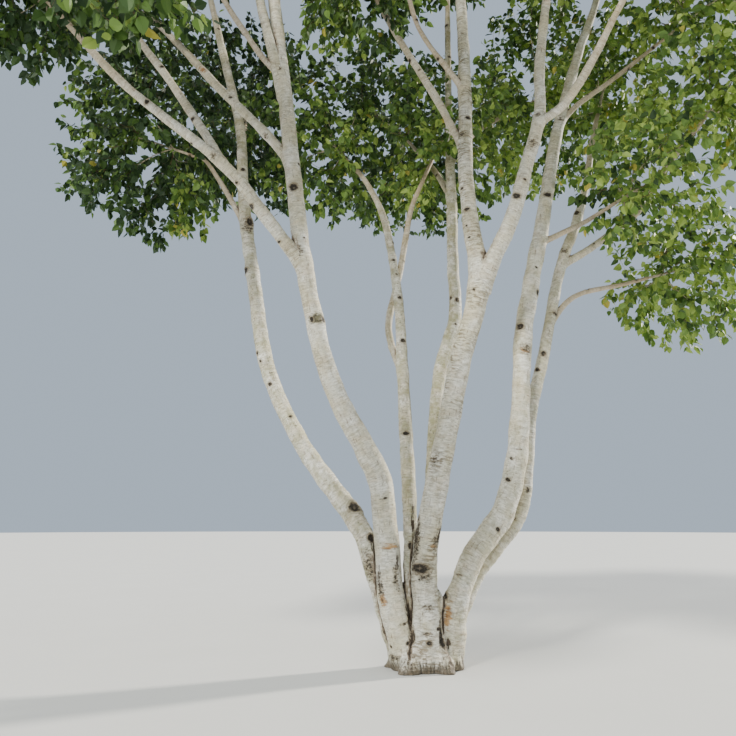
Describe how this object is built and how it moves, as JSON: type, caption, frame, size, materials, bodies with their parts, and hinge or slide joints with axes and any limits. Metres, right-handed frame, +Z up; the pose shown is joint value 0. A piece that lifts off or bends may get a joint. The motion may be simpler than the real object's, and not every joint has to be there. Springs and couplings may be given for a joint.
{
  "type": "himalayan birch tree",
  "caption": "Clump of pale-barked birch stems from one foot, spreading upward into boughs and an open crown of small green leaves.",
  "frame": {"origin": "in the flat cut under the clump's foot, at ground level", "axes": "+Z up the tree, +X to the right of the clump seen from its front, +Y towards its back"},
  "size_m": [7.0937, 6.8708, 9.2307],
  "materials": {
    "foot_bark": "matt, rough and fibrous at the ground",
    "bark": "satin papery bark",
    "foliage": "soft satin leaves"
  },
  "bodies": {
    "root": {"trunk": "foot_bark", "stem_left": "bark", "stem_mid_right": "bark", "stem_right": "bark", "stem_far_left": "bark", "stem_centre": "bark", "stem_rear": "bark", "stem_right_rear": "bark", "bough_left": "bark", "bough_left_upper": "bark", "bough_left_high": "bark", "bough_left_twin": "bark", "bough_front_left": "bark", "bough_front_left_low": "bark", "bough_far_left": "bark", "bough_rear_left": "bark", "bough_centre": "bark", "bough_rear": "bark", "bough_rear_right": "bark", "bough_mid_right": "bark", "bough_front_right": "bark", "bough_front_low": "bark", "bough_mid_left": "bark", "bough_front": "bark", "bough_top_front": "bark", "bough_top_right": "bark", "bough_right_upper": "bark", "bough_right_inner": "bark", "bough_right": "bark", "bough_right_low": "bark", "foliage_left_top": "foliage", "foliage_top": "foliage", "foliage_right_top": "foliage", "foliage_far_left_top": "foliage", "foliage_rear_left_low": "foliage", "foliage_rear_top": "foliage", "foliage_right_rear": "foliage", "foliage_left": "foliage", "foliage_left_upper": "foliage", "foliage_left_rear": "foliage", "foliage_left_inner": "foliage", "foliage_front_left": "foliage", "foliage_front_left_low": "foliage", "foliage_far_left_low": "foliage", "foliage_rear_left": "foliage", "foliage_rear_low": "foliage", "foliage_rear": "foliage", "foliage_rear_right": "foliage", "foliage_mid_right": "foliage", "foliage_front_right": "foliage", "foliage_front_low": "foliage", "foliage_mid_left": "foliage", "foliage_front": "foliage", "foliage_top_front": "foliage", "foliage_top_right": "foliage", "foliage_right_upper": "foliage", "foliage_right_inner": "foliage", "foliage_right": "foliage", "foliage_right_low": "foliage"}
  },
  "joints": []
}
